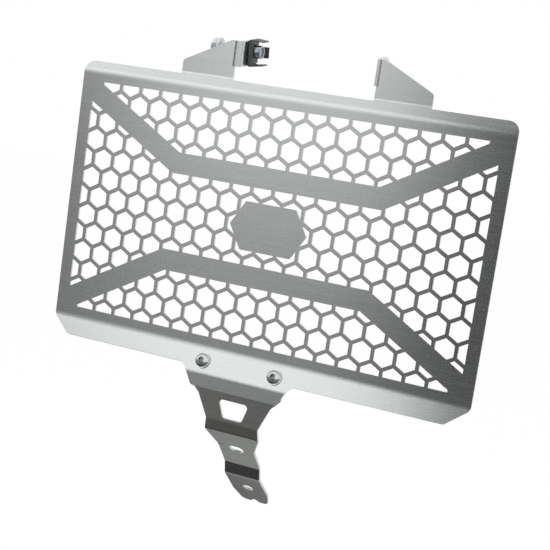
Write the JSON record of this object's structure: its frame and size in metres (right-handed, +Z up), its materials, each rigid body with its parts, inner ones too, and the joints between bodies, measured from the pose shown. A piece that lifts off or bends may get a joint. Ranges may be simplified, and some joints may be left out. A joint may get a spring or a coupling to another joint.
{
  "type": "motorcycle radiator guard",
  "caption": "Folded honeycomb sheet guard for a motorcycle radiator, with tabs and ears above and a stepped bracket bolted below.",
  "frame": {"origin": "centre of the round hole in the bracket's foot, in the middle of the plate", "axes": "+X to the right as seen from the front, +Y back towards the radiator, +Z up"},
  "size_m": [0.3, 0.0729, 0.3246],
  "materials": {
    "guard_steel": "brushed along the long side",
    "bracket_steel": "brushed across the bracket",
    "fasteners": "plain stainless, machined",
    "spring_steel": "dark phosphated spring steel",
    "barrel_zinc": "bright zinc plate"
  },
  "bodies": {
    "root": {"guard_panel": "guard_steel", "lower_bracket": "bracket_steel", "bracket_screw_left": "fasteners", "bracket_screw_right": "fasteners", "bracket_washer_left": "fasteners", "bracket_washer_right": "fasteners", "bracket_nut_left": "fasteners", "bracket_nut_right": "fasteners", "clip_nut": "spring_steel", "clip_barrel": "barrel_zinc", "ear_bolt": "fasteners", "ear_washer": "fasteners"}
  },
  "joints": []
}
